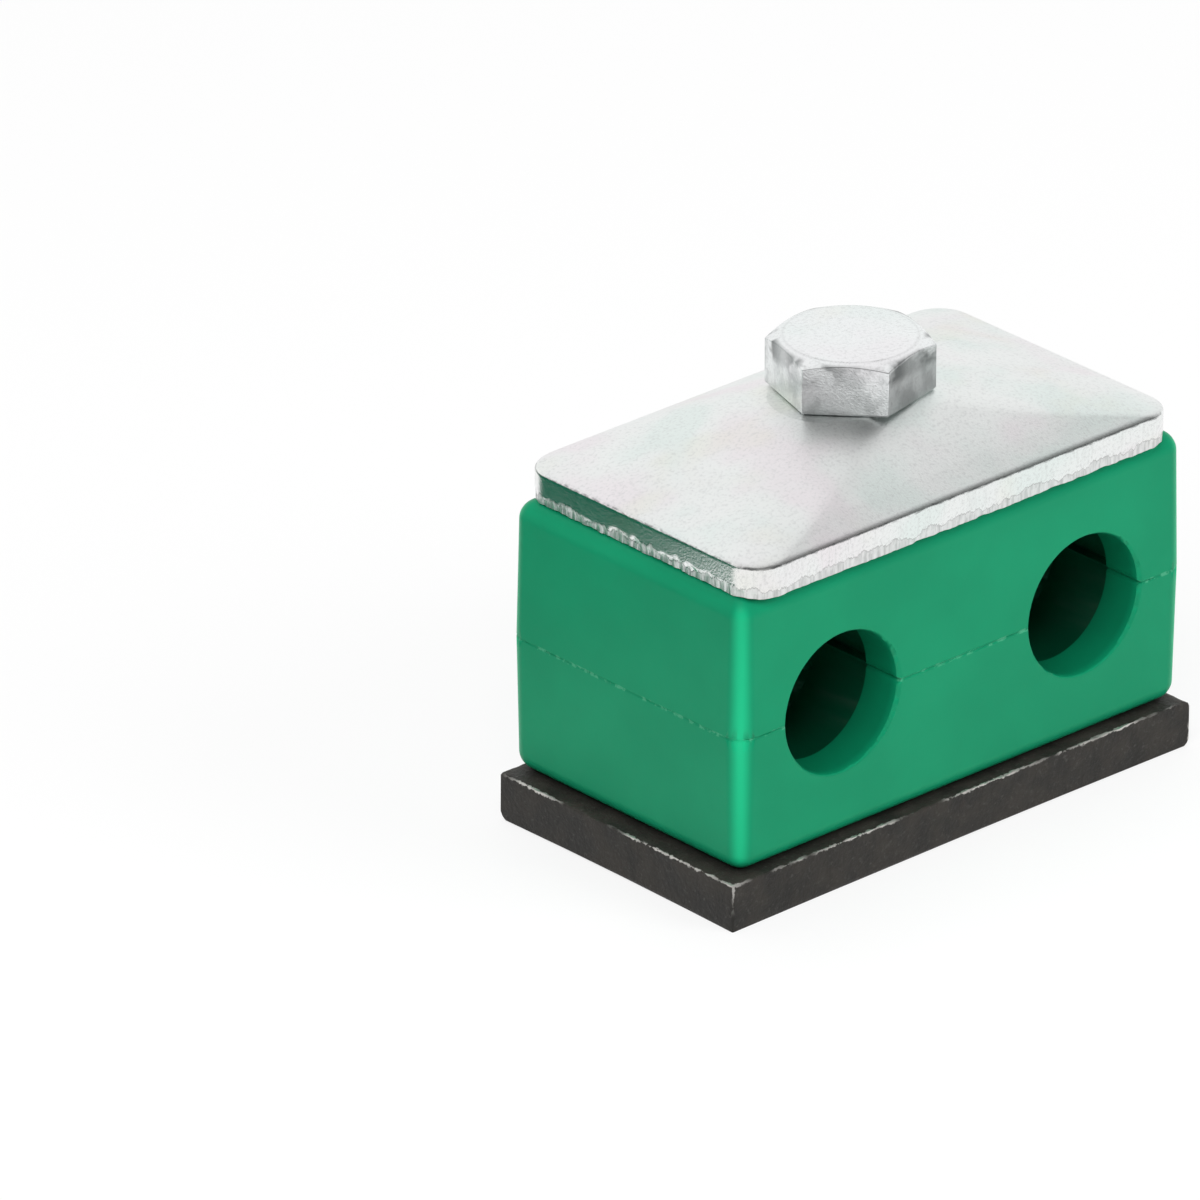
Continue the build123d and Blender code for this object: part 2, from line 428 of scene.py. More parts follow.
def make_green_plastic(name, colour, high, bore):
    """Moulded polypropylene: satin green, with a painted highlight on the upright edges, painted shade
    inside the bores and a painted highlight along the seam's flash.
    """
    material, n, place, shader = new_material(name)
    grain = use_group(n, "Surface grain", {"Place": place, "Grain Scale": 1900.0, "Blotch Scale": 70.0})
    deep = tuple(c * 0.9 for c in colour[:3]) + (1.0,)
    base = n.mix(grain["Blotch"], colour, deep)
    axes = n.split(place)
    spread = n.split(n.vector("ABSOLUTE", place))
    # Painted highlight: where the upright edges round over, the colour is painted paler, standing in for
    # their bright sheen.
    near_x = n.remap(spread[0], high.x - 0.0017, high.x - 0.0003)
    near_y = n.remap(spread[1], high.y - 0.0017, high.y - 0.0003)
    pale = (colour[0] + 0.010, min(1.0, colour[1] * 2.1), min(1.0, colour[2] * 2.1), 1.0)
    base = n.mix(n.maths("MULTIPLY", near_x, near_y), base, pale)
    # Painted shade: inside the bores the colour is painted darker, more so further in, standing in for the
    # shade there.
    off_x = n.maths("SUBTRACT", spread[0], bore["x"])
    off_z = n.maths("SUBTRACT", axes[2], bore["z"])
    out = n.distance(off_x, off_z)
    inside = n.remap(out, bore["r"] + 0.0017, bore["r"] + 0.0013)
    deep_in = n.remap(spread[1], high.y - 0.0040, high.y - 0.0047)
    mouth = n.remap(spread[1], high.y - 0.0002, high.y - 0.0012)
    shade = n.maths("MULTIPLY", inside, n.blend(deep_in, n.maths("MULTIPLY", mouth, 0.34), 0.80))
    dark = tuple(c * 0.12 for c in colour[:3]) + (1.0,)
    base = n.mix(shade, base, dark)
    # Painted highlight: a broken paler band along the seam, on the outer faces only, stands in for the
    # highlight on the flash lip.
    from_seam = n.maths("ABSOLUTE", n.maths("SUBTRACT", axes[2], bore["z"]))
    seam_band = n.remap(from_seam, 0.00024, 0.00010)
    seam_highlight_breakup = n.remap(n.noise(place, 1100.0, 4.0, 0.7), 0.50, 0.62)
    outer_x = n.remap(spread[0], high.x - 0.0006, high.x - 0.0003)
    outer_y = n.remap(spread[1], high.y - 0.0006, high.y - 0.0003)
    outside = n.maths("MAXIMUM", outer_x, outer_y)
    painted_seam_highlight = n.maths("MULTIPLY", n.maths("MULTIPLY", seam_band, outside), n.maths("MULTIPLY", seam_highlight_breakup, 0.32))
    n.tree.links.new(n.mix(painted_seam_highlight, base, (0.20, 0.66, 0.42, 1)), shader.inputs["Base Color"])
    n.tree.links.new(n.blend(grain["Blotch"], 0.34, 0.42), shader.inputs["Roughness"])
    shader.inputs["Specular IOR Level"].default_value = 0.12
    set_bump(n, shader, grain["Grain"], 0.10, 0.00003)
    return material


def make_black_steel(name, colour, low, high):
    """Mill-scaled steel bar: mottled charcoal with bright broken wear on its upper edges."""
    material, n, place, shader = new_material(name)
    middle = (low + high) / 2
    half = (high - low) / 2
    grain = use_group(n, "Surface grain", {"Place": place, "Grain Scale": 2300.0, "Blotch Scale": 330.0})
    wear = use_group(
        n, "Edge wear",
        {"Place": place, "Centre": (middle.x, middle.y, high.z - 1), "Half Size": (half.x, half.y, 1),
         "Width": 0.00021, "Cover": 0.46, "Breakup Scale": 1500.0},
    )
    bare = wear["Wear"]
    warm = (colour[0] * 1.8, colour[1] * 1.7, colour[2] * 1.65, 1.0)
    base = n.mix(grain["Blotch"], colour, warm)
    rust = n.remap(n.noise(place, 420.0, 4.0, 0.6), 0.62, 0.78)
    base = n.mix(n.maths("MULTIPLY", rust, 0.35), base, (0.050, 0.036, 0.030, 1.0))
    streaks = n.noise(n.vector("MULTIPLY", place, (1.0, 1.0, 0.2)), 900.0, 3.0, 0.6)
    base = n.mix(n.maths("MULTIPLY", n.remap(streaks, 0.55, 0.75), 0.3), base, (0.012, 0.012, 0.011, 1.0))
    dust = n.remap(n.noise(place, 2500.0, 3.0, 0.65), 0.56, 0.74)
    base = n.mix(n.maths("MULTIPLY", dust, 0.45), base, (0.085, 0.082, 0.076, 1.0))
    n.tree.links.new(n.mix(bare, base, (0.62, 0.60, 0.57, 1.0)), shader.inputs["Base Color"])
    n.tree.links.new(n.blend(bare, 0.0, 0.9), shader.inputs["Metallic"])
    rough = n.blend(grain["Blotch"], 0.46, 0.58)
    n.tree.links.new(n.blend(bare, rough, 0.38), shader.inputs["Roughness"])
    shader.inputs["Specular IOR Level"].default_value = 0.2
    set_bump(n, shader, n.maths("ADD", grain["Grain"], grain["Blotch"]), 0.40, 0.00008)
    return material


def make_zinc(name, colour, tint, rough, rim=None, crown=None):
    """Bright zinc plating, with a sheared rim torn at its foot and a painted shade line at its rollover, or
    a hexagon crown with painted dark reflections at its chamfer corners.
    """
    material, n, place, shader = new_material(name)
    film = use_group(n, "Zinc film", {"Place": place, "Base": colour, "Tint": tint, "Grain Scale": 5200.0})
    shader.inputs["Metallic"].default_value = 1.0
    base = film["Colour"]
    roughness = n.blend(film["Dulling"], rough, rough + 0.08)
    height = film["Height"]
    if rim is not None:
        foot_z, edge_z = rim
        level = n.split(place)[2]
        wall = n.remap(level, edge_z, edge_z - 0.0002)
        roughness = n.blend(wall, roughness, 0.17)
        # Painted shade: a broken dark line just below the rim's rollover stands in for the shade where the
        # top turns down into the wall.
        flat = n.vector("MULTIPLY", place, (1.0, 1.0, 0.0))
        sway = n.maths("MULTIPLY", n.remap(n.noise(flat, 520.0, 4.0, 0.65), 0.25, 0.75, -1.0, 1.0), 0.00012)
        gap = n.maths("ABSOLUTE", n.maths("SUBTRACT", n.maths("ADD", level, sway), edge_z - 0.0002))
        painted_rollover_shade = n.maths("SUBTRACT", 1.0, n.maths("DIVIDE", gap, 0.00013), clamp=True)
        broken = n.remap(n.noise(flat, 900.0, 3.0, 0.6), 0.36, 0.60)
        painted_rollover_shade = n.maths("MULTIPLY", painted_rollover_shade, broken)
        base = n.mix(n.maths("MULTIPLY", painted_rollover_shade, 0.75), base, (0.13, 0.14, 0.14, 1.0))
        torn = use_group(n, "Torn edge", {"Place": place, "Foot Z": foot_z, "Line Height": 0.00080})
        dark = n.mix(torn["Streak"], (0.40, 0.42, 0.41, 1.0), (0.97, 0.98, 0.97, 1.0))
        base = n.mix(n.maths("MULTIPLY", torn["Torn"], 0.6), base, dark)
        scored = n.maths("MULTIPLY", wall, n.remap(torn["Streak"], 0.6, 1.0, 0.0, 0.16))
        base = n.mix(scored, base, (0.55, 0.57, 0.56, 1.0))
        base = n.mix(n.maths("MULTIPLY", torn["Line"], 0.5), base, (0.22, 0.22, 0.21, 1.0))
        roughness = n.blend(torn["Torn"], roughness, 0.38)
        ripple = n.maths("MULTIPLY", n.maths("MULTIPLY", torn["Torn"], torn["Streak"]), 1.6)
        height = n.maths("ADD", height, ripple)
    if crown is not None:
        flat_radius, top_z = crown
        spot = n.split(place)
        radius = n.distance(spot[0], spot[1])
        # Painted reflection: broken dark patches on the upper chamfer at the head's corners stand in for
        # dark reflections there.
        corner = n.remap(radius, flat_radius + 0.0002, flat_radius + 0.0009)
        upper = n.remap(spot[2], top_z - 0.0026, top_z - 0.0014)
        patchy = n.remap(n.noise(place, 300.0, 3.0, 0.55), 0.38, 0.52)
        painted_corner_reflection = n.maths("MULTIPLY", n.maths("MULTIPLY", corner, upper), patchy)
        base = n.mix(n.maths("MULTIPLY", painted_corner_reflection, 0.85), base, (0.14, 0.15, 0.15, 1.0))
        streaks = n.noise(n.vector("MULTIPLY", place, (1.0, 1.0, 0.7)), 520.0, 3.0, 0.55)
        side = n.remap(spot[2], top_z - 0.0002, top_z - 0.0008)
        mottle = n.maths("MULTIPLY", side, n.remap(streaks, 0.42, 0.66, 0.0, 0.40))
        base = n.mix(mottle, base, (0.30, 0.32, 0.32, 1.0))
        ring = n.maths("ABSOLUTE", n.maths("SUBTRACT", radius, flat_radius))
        ring = n.maths("SUBTRACT", 1.0, n.maths("DIVIDE", ring, 0.00022), clamp=True)
        base = n.mix(n.maths("MULTIPLY", ring, 0.16), base, (0.30, 0.31, 0.31, 1.0))
    n.tree.links.new(base, shader.inputs["Base Color"])
    n.tree.links.new(roughness, shader.inputs["Roughness"])
    set_bump(n, shader, height, 0.38, 0.00005)
    return material


def make_turned_steel(name, colour):
    """Oiled turned steel with fine tool marks round Z."""
    material, n, place, shader = new_material(name)
    spot = n.split(place)
    radius = n.distance(spot[0], spot[1])
    ring = n.add("ShaderNodeCombineXYZ", {0: radius, 1: 0.0, 2: spot[2]}).outputs[0]
    marks = n.noise(ring, 4200.0, 2.0, 0.5)
    grain = use_group(n, "Surface grain", {"Place": place, "Blotch Scale": 260.0})
    darker = tuple(c * 0.6 for c in colour[:3]) + (1.0,)
    n.tree.links.new(n.mix(grain["Blotch"], colour, darker), shader.inputs["Base Color"])
    shader.inputs["Metallic"].default_value = 1.0
    n.tree.links.new(n.remap(marks, 0.3, 0.7, 0.28, 0.45), shader.inputs["Roughness"])
    set_bump(n, shader, marks, 0.25, 0.00003)
    return material


def make_floor_paint(name, colour, painted_reflection_centre):
    """Plain pale floor; polished metal also finds in it a painted reflection of a dark green clamp next to
    this one, seen only by glossy rays.
    """
    material, n, place, shader = new_material(name)
    mottle = n.noise(place, 6.0, 2.0, 0.5)
    soft = tuple(c * 0.985 for c in colour[:3]) + (1.0,)
    n.tree.links.new(n.mix(mottle, colour, soft), shader.inputs["Base Color"])
    shader.inputs["Roughness"].default_value = 0.9
    shader.inputs["Specular IOR Level"].default_value = 0.1
    ray = n.add("ShaderNodeLightPath").outputs
    # Painted reflection: only glossy rays see a dark green spot on the floor next to the clamp, standing in
    # for the reflection of another clamp there.
    spot = n.split(place)
    beside_y = n.remap(spot[1], painted_reflection_centre.y - 0.008, painted_reflection_centre.y + 0.008)
    beside_x = n.remap(spot[0], painted_reflection_centre.x + 0.02, painted_reflection_centre.x - 0.01)
    painted_reflection_spot = n.maths("MULTIPLY", n.maths("MULTIPLY", beside_x, beside_y), ray["Is Glossy Ray"])
    tone = n.mix(painted_reflection_spot, (1.0, 1.0, 1.0, 1.0), (0.010, 0.125, 0.072, 1.0))
    glow = n.add("ShaderNodeEmission", {"Color": tone, "Strength": 1.0})
    seen = n.blend(ray["Is Glossy Ray"], n.maths("MULTIPLY", ray["Is Camera Ray"], 0.8), 1.0)
    both = n.add("ShaderNodeMixShader", {0: seen, 1: shader.outputs[0], 2: glow.outputs[0]})
    n.add("ShaderNodeOutputMaterial", {"Surface": both.outputs[0]}).is_active_output = True
    return material


# ---------------------------------------------------------------- the user's sizes and colours

class ClampFinish(bpy.types.PropertyGroup):
    green: bpy.props.FloatVectorProperty(
        name="Body green", description="Colour of the moulded halves",
        subtype="COLOR", size=4, min=0, max=1, default=(0.004, 0.270, 0.126, 1.0))
    charcoal: bpy.props.FloatVectorProperty(
        name="Plate charcoal", description="Colour of the weld plate's scale",
        subtype="COLOR", size=4, min=0, max=1, default=(0.021, 0.020, 0.018, 1.0))
    zinc: bpy.props.FloatVectorProperty(
        name="Zinc", description="Colour of the plating before its tints",
        subtype="COLOR", size=4, min=0, max=1, default=(0.86, 0.88, 0.87, 1.0))
    bolt_zinc: bpy.props.FloatVectorProperty(
        name="Bolt zinc", description="Colour of the bolt's plating",
        subtype="COLOR", size=4, min=0, max=1, default=(0.86, 0.885, 0.885, 1.0))
    bush: bpy.props.FloatVectorProperty(
        name="Bush steel", description="Colour of the turned bush",
        subtype="COLOR", size=4, min=0, max=1, default=(0.30, 0.29, 0.28, 1.0))
    floor: bpy.props.FloatVectorProperty(
        name="Floor", description="Colour of the floor",
        subtype="COLOR", size=4, min=0, max=1, default=(0.86, 0.86, 0.86, 1.0))
    tint: bpy.props.FloatProperty(
        name="Plating tint", description="How strong the plating's faint colours are",
        subtype="FACTOR", min=0, max=1, default=0.5)


class ClampSizes(bpy.types.PropertyGroup):
    flash: bpy.props.FloatProperty(
        name="Flash", description="How far the moulding flash stands out at the seam",
        subtype="DISTANCE", unit="LENGTH", min=0, max=0.0005, default=0.00017)
    plate_wear: bpy.props.FloatProperty(
        name="Edge chipping", description="How uneven the weld plate's upper edges are",
        subtype="DISTANCE", unit="LENGTH", min=0, max=0.0005, default=0.00017)
    cover_corner: bpy.props.FloatProperty(
        name="Cover corner", description="Radius of the cover plate's corners in plan",
        subtype="DISTANCE", unit="LENGTH", min=0.001, max=0.006, default=0.003)
    cover_rim: bpy.props.FloatProperty(
        name="Cover rim", description="Height of the cover plate's sheared edge",
        subtype="DISTANCE", unit="LENGTH", min=0.001, max=0.005, default=0.00310)
    pitch: bpy.props.FloatProperty(
        name="Thread pitch", description="Rise of the bolt's thread in one turn",
        subtype="DISTANCE", unit="LENGTH", min=0.0005, max=0.002, default=0.00125)


class ClampStage(bpy.types.PropertyGroup):
    azimuth: bpy.props.FloatProperty(
        name="Azimuth", description="Direction the camera looks from",
        subtype="ANGLE", unit="ROTATION", default=math.radians(-42.45))
    elevation: bpy.props.FloatProperty(
        name="Elevation", description="Height of the camera above the horizon",
        subtype="ANGLE", unit="ROTATION", default=math.radians(25.67))
    roll: bpy.props.FloatProperty(
        name="Roll", description="Tilt of the camera about its own axis",
        subtype="ANGLE", unit="ROTATION", default=math.radians(0.15))
    distance: bpy.props.FloatProperty(
        name="Distance", description="From the camera to the top of the weld plate",
        subtype="DISTANCE", unit="LENGTH", default=1.4438)
    aside: bpy.props.FloatProperty(
        name="Aside", description="How far the clamp stands right of the frame's middle",
        subtype="DISTANCE", unit="LENGTH", default=0.02170)
    below: bpy.props.FloatProperty(
        name="Below", description="How far the clamp stands below the frame's middle",
        subtype="DISTANCE", unit="LENGTH", default=0.01164)
    lens: bpy.props.FloatProperty(
        name="Lens", description="Focal length on a 36 mm wide sensor, in millimetres",
        min=20, max=600, default=492.6)
    key_power: bpy.props.FloatProperty(
        name="Key light", description="Power of the main soft light, in watts",
        subtype="POWER", min=0, default=5.0)
    fill: bpy.props.FloatProperty(
        name="Fill", description="Strength of the even light from all round",
        min=0, max=2, default=0.30)


# ---------------------------------------------------------------- one operator for each piece

class MakeGroups(bpy.types.Operator):
    """Build the shared grain, wear, plating and torn edge node groups"""
    bl_idname = "tube_clamp.groups"
    bl_label = "Finishes"

    def execute(self, context):
        make_surface_grain()
        make_edge_wear()
        make_zinc_film()
        make_torn_edge()
        return {"FINISHED"}


class MakeWeldPlate(bpy.types.Operator):
    """Model the weld plate with its chipped upper edges and rolled lower edges"""
    bl_idname = "tube_clamp.weld_plate"
    bl_label = "Weld plate"

    def execute(self, context):
        finish = context.scene.clamp_finish
        sizes = context.scene.clamp_sizes
        low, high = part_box("weld_plate")
        plate = block("weld_plate_bar", low, high)
        near = 0.01 * MM
        rolled = (
            (1.0 * MM, lambda a, b: min(a.x, b.x) > high.x - near and min(a.z, b.z) > high.z - near),
            (1.0 * MM, lambda a, b: min(a.x, b.x) > high.x - near and max(a.z, b.z) < low.z + near),
            (1.2 * MM, lambda a, b: min(a.y, b.y) > high.y - near and max(a.z, b.z) < low.z + near),
        )
        for offset, test in rolled:
            pick_edges(plate, test)
            bpy.ops.mesh.bevel(offset=offset, segments=4, affect="EDGES")
        upright = lambda a, b: abs(a.z - b.z) > 2 * MM
        pick_edges(plate, upright)
        bpy.ops.mesh.bevel(offset=0.25 * MM, segments=3, affect="EDGES")
        pick_edges(plate, lambda a, b: max(a.z, b.z) < low.z + near and (
            max(a.x, b.x) < low.x + near or max(a.y, b.y) < low.y + near))
        bpy.ops.mesh.bevel(offset=0.7 * MM, segments=4, affect="EDGES")
        pick_edges(plate, lambda a, b: min(a.z, b.z) > high.z - near and min(a.x, b.x) < high.x - 1.1 * MM)
        bpy.ops.mesh.bevel(offset=0.22 * MM, segments=2, affect="EDGES")
        pick_edges(plate, lambda a, b: abs(a.x - b.x) > 40 * MM)
        bpy.ops.mesh.subdivide(number_cuts=90)
        pick_edges(plate, lambda a, b: abs(a.y - b.y) > 20 * MM)
        bpy.ops.mesh.subdivide(number_cuts=48)
        bore = drum("bore", PLATE_BORE_RADIUS, low.z - MM, high.z + MM, sides=72)
        combine(plate, bore, "DIFFERENCE")
        sink = drum("sink", 7.2 * MM, low.z - 0.0001 * MM, low.z + 1.2 * MM, sides=72,
                    top_radius=PLATE_BORE_RADIUS)
        combine(plate, sink, "DIFFERENCE")
        edge_band = lambda p: p.z > high.z - 0.3 * MM and p.x * p.x + p.y * p.y > (9 * MM) ** 2
        pick_points(plate, lambda p: edge_band(p) and (
            min(high.x - p.x, p.x - low.x) < 0.3 * MM or min(high.y - p.y, p.y - low.y) < 0.3 * MM))
        bpy.ops.transform.vertex_random(offset=sizes.plate_wear * 0.7, seed=4)
        bpy.ops.object.mode_set(mode="OBJECT")
        for point in plate.data.vertices:
            point.co.x = min(max(point.co.x, low.x), high.x)
            point.co.y = min(max(point.co.y, low.y), high.y)
            point.co.z = min(max(point.co.z, low.z), high.z)
        finish_shading(plate, 40)
        hand_over(plate, "base", "weld_plate",
                  make_black_steel("Mill scale", tuple(finish.charcoal), low, high))
        return {"FINISHED"}


class MakeBush(bpy.types.Operator):
    """Finish the turned bush that takes the bolt"""
    bl_idname = "tube_clamp.bush"
    bl_label = "Threaded bush"

    def execute(self, context):
        finish = context.scene.clamp_finish
        bush = merged_copy("threaded_bush", "threaded_bush_turned")
        finish_shading(bush, 30)
        hand_over(bush, "base", "threaded_bush",
                  make_turned_steel("Turned steel", tuple(finish.bush)))
        return {"FINISHED"}


class MakeHalves(bpy.types.Operator):
    """Finish the two moulded halves, with flash along the seam between them"""
    bl_idname = "tube_clamp.halves"
    bl_label = "Moulded halves"

    def execute(self, context):
        finish = context.scene.clamp_finish
        sizes = context.scene.clamp_sizes
        low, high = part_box("lower_half")
        seam = high.z
        mount = frame["record"]["mounts"][0]
        bore = {"x": abs(mount["pos_m"][0]), "z": mount["pos_m"][2], "r": mount["dims"]["r_mm"] * MM}
        plastic = make_green_plastic("Green plastic", tuple(finish.green), high, bore)
        corner = 1.9 * MM
        for node, name, body, side in (
            ("lower_half", "lower_half_moulding", "base", -1),
            ("upper_half", "upper_half_moulding", "jaw", 1),
        ):
            half = merged_copy(node, name)
            finish_shading(half, 32)
            near, far = seam + side * 0.005 * MM, seam + side * 0.08 * MM
            web = block(name + "_flash", (low.x, low.y, min(near, far)), (high.x, high.y, max(near, far)))
            pick_edges(web, lambda a, b: abs(a.z - b.z) > 0.01 * MM)
            bpy.ops.mesh.bevel(offset=corner, segments=10, affect="EDGES")
            pick_edges(web, lambda a, b: abs(a.x - b.x) > 40 * MM)
            bpy.ops.mesh.subdivide(number_cuts=240)
            pick_edges(web, lambda a, b: abs(a.y - b.y) > 20 * MM)
            bpy.ops.mesh.subdivide(number_cuts=140)
            for x in (-bore["x"], bore["x"]):
                deselect_all()
                bpy.ops.mesh.primitive_cylinder_add(
                    vertices=96, radius=bore["r"] + 0.3 * MM, depth=40 * MM, location=(x, 0, seam),
                    rotation=(math.pi / 2, 0, 0))
                combine(web, bpy.context.object, "DIFFERENCE")
            combine(web, drum("shaft", 4.7 * MM, seam - MM, seam + MM), "DIFFERENCE")
            for point in web.data.vertices:
                flat = Vector((point.co.x, point.co.y, 0))
                inner = Vector((
                    min(max(flat.x, low.x + corner), high.x - corner),
                    min(max(flat.y, low.y + corner), high.y - corner), 0))
                outward = flat - inner
                if outward.length > corner * 0.9:
                    coarse = noise.noise(flat * 420 + Vector((0, 0, 7 * side)))
                    fine = noise.noise(flat * 1900)
                    push = max(0.0, coarse * 0.9 + fine * 0.45) * sizes.flash - 0.06 * MM
                    point.co += outward.normalized() * push
            work_on(web)
            half.select_set(True)
            bpy.context.view_layer.objects.active = half
            bpy.ops.object.join()
            hand_over(half, body, node, plastic)
        return {"FINISHED"}


class MakeCover(bpy.types.Operator):
    """Model the dished cover plate with its sheared edge and coined seat"""
    bl_idname = "tube_clamp.cover"
    bl_label = "Cover plate"

    def execute(self, context):
        finish = context.scene.clamp_finish
        sizes = context.scene.clamp_sizes
        low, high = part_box("cover_plate")
        middle = (low + high) / 2
        size = high - low
        rise = size.z - sizes.cover_rim
        rim = rounded_ring(size.x, size.y, sizes.cover_corner)
        shoulder = rounded_ring(34.8 * MM, 20.4 * MM, 8.5 * MM)
        seat = rounded_ring(16 * MM, 10.6 * MM, 5.2 * MM)
        foot = rounded_ring(size.x - 6.4 * MM, size.y - 6.4 * MM, 3 * MM)
        hole = [p.normalized() * 4.85 * MM for p in seat]
        sections = ((rim, sizes.cover_rim), (shoulder, sizes.cover_rim + rise * 0.57), (seat, size.z))

        def dish(share):
            share = min(max(share, 0.0), 2.0)
            index = min(int(share), 1)
            part = share - index
            (ring_a, z_a), (ring_b, z_b) = sections[index], sections[index + 1]
            return [a.lerp(b, part) for a, b in zip(ring_a, ring_b)], z_a + (z_b - z_a) * part

        def eased(share, reach=0.6):
            reach = min(reach, share)
            steps = [dish(share + reach * k / 4) for k in range(-4, 5)]
            ring = [sum(points, Vector((0, 0))) / 9 for points in zip(*(step[0] for step in steps))]
            return ring, sum(step[1] for step in steps) / 9

        def lay(ring, height):
            return raised(ring, low.z + height, middle)

        thick = COVER_THICKNESS
        rows = [lay(hole, size.z - thick), lay(hole, size.z - 0.15 * MM)]
        rows.append(lay([p.normalized() * 5.0 * MM for p in seat], size.z))
        for part in (0.5, 1.0):
            rows.append(lay([h.lerp(s, part) for h, s in zip(hole, seat)], size.z))
        for step in range(1, 38):
            rows.append(lay(*eased(2.6 - 2.5 * step / 37)))
        outer_lip, lip_z = dish(0.1)
        wall_top = sizes.cover_rim - 0.34 * MM
        for step in range(1, 7):
            part = step / 6
            inward = (1 - part) ** 2
            height = (lip_z * (1 - part) ** 2 + wall_top * part ** 2
                      + 2 * part * (1 - part) * (sizes.cover_rim + 0.03 * MM))
            rows.append(lay([r.lerp(o, inward) for r, o in zip(rim, outer_lip)], height))
        for step in range(1, 16):
            rows.append(lay(rim, wall_top * (1 - step / 15)))
        rows.append(lay([f.lerp(r, 0.5) for f, r in zip(foot, rim)], 0.0))
        rows.append(lay(foot, 0.0))
        rows.append(lay(shoulder, sizes.cover_rim + rise * 0.57 - thick))
        rows.append(lay(seat, size.z - thick))
        rows.append(rows[0])
        cover = wrapped_grid("cover_plate_pressing", rows)
        reach_in = Vector((size.x / 2 - sizes.cover_corner, size.y / 2 - sizes.cover_corner, 0))
        for point in cover.data.vertices:
            flat = Vector((point.co.x - middle.x, point.co.y - middle.y, 0))
            inner = Vector((
                min(max(flat.x, -reach_in.x), reach_in.x), min(max(flat.y, -reach_in.y), reach_in.y), 0))
            outward = flat - inner
            height = point.co.z - low.z
            if abs(outward.length - sizes.cover_corner) > 0.02 * MM or height > wall_top + 0.01 * MM:
                continue
            line = (0.85 + 0.30 * noise.noise(flat * 240) + 0.45 * noise.noise(flat * 1300)) * MM
            torn = min(max((line - height) / (0.20 * MM), 0.0), 1.0)
            rough = noise.noise(Vector((point.co.x, point.co.y, height * 0.35)) * 2100)
            point.co -= outward.normalized() * torn * (0.08 + 0.09 * rough) * MM
            if height < 0.02 * MM:
                point.co.z += max(0.0, 0.05 + 0.16 * noise.noise(flat * 700)) * MM
        finish_shading(cover, 50)
        hand_over(cover, "jaw", "cover_plate",
                  make_zinc("Zinc plating", tuple(finish.zinc), finish.tint * 0.7, 0.33,
                            rim=(low.z, low.z + sizes.cover_rim)))
        return {"FINISHED"}


class MakeBolt(bpy.types.Operator):
    """Model the hexagon bolt with its chamfered head and threaded shank"""
    bl_idname = "tube_clamp.bolt"
    bl_label = "Hexagon bolt"

    def execute(self, context):
        finish = context.scene.clamp_finish
        sizes = context.scene.clamp_sizes
        low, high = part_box("hex_bolt")
        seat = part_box("cover_plate")[1].z
        corner = ACROSS_FLATS / math.sqrt(3)
        top = high.z - HEAD_DROP
        deselect_all()
        bpy.ops.mesh.primitive_cylinder_add(
            vertices=6, radius=corner, depth=top - seat, location=(0, 0, (top + seat) / 2),
            rotation=(0, 0, math.radians(HEAD_TURN)))
        head = bpy.context.object
        head.name = "hex_bolt_forging"
        bpy.ops.object.transform_apply(location=True, rotation=True, scale=True)
        slope = math.tan(math.radians(CHAMFER_ANGLE))
        reach = (top - seat) / slope
        cone = drum("crown", CROWN_RADIUS + reach, seat, top, sides=128, top_radius=CROWN_RADIUS)
        combine(head, cone, "INTERSECT")
        pick_edges(head, lambda a, b: max(a.z, b.z) < seat + 0.01 * MM)
        bpy.ops.mesh.bevel(offset=0.28 * MM, segments=3, affect="EDGES")
        bpy.ops.object.mode_set(mode="OBJECT")
        work_on(head)
        soft = head.modifiers.new("Soft edges", "BEVEL")
        soft.width = 0.12 * MM
        soft.segments = 3
        soft.limit_method = "ANGLE"
        soft.angle_limit = math.radians(25)
        bpy.ops.object.modifier_apply(modifier=soft.name)
        shank = drum("shank", SHANK_RADIUS, low.z + 0.9 * MM, seat + 0.2 * MM, sides=48)
        combine(head, shank, "UNION")
        tip = drum("tip", 2.9 * MM, low.z, low.z + 1.0 * MM, sides=48, top_radius=SHANK_RADIUS)
        combine(head, tip, "UNION")
        deselect_all()
        bpy.ops.mesh.primitive_plane_add(size=1, location=(0, 0, 0))
        ridge = bpy.context.object
        ridge.name = "ridge"
        pitch = sizes.pitch
        profile = ((3.2, -0.46), (3.95, -0.09), (3.95, 0.09), (3.2, 0.46))
        start = low.z + 1.0 * MM
        order = (0, 1, 3, 2)
        for point, index in zip(ridge.data.vertices, order):
            radius, rise = profile[index]
            point.co = Vector((radius * MM, 0, start + rise * MM))
        turns = int((seat - start - 1.2 * MM) / pitch)
        work_on(ridge)
        coil = ridge.modifiers.new("Thread", "SCREW")
        coil.angle = 2 * math.pi * turns
        coil.screw_offset = pitch * turns
        coil.steps = coil.render_steps = 36 * turns
        coil.use_normal_calculate = True
        bpy.ops.object.modifier_apply(modifier=coil.name)
        turn_faces_out(ridge)
        work_on(ridge)
        head.select_set(True)
        bpy.context.view_layer.objects.active = head
        bpy.ops.object.join()
        finish_shading(head, 28)
        hand_over(head, "bolt", "hex_bolt",
                  make_zinc("Bolt plating", tuple(finish.bolt_zinc), finish.tint * 0.4, 0.19,
                            crown=(CROWN_RADIUS, top)))
        return {"FINISHED"}


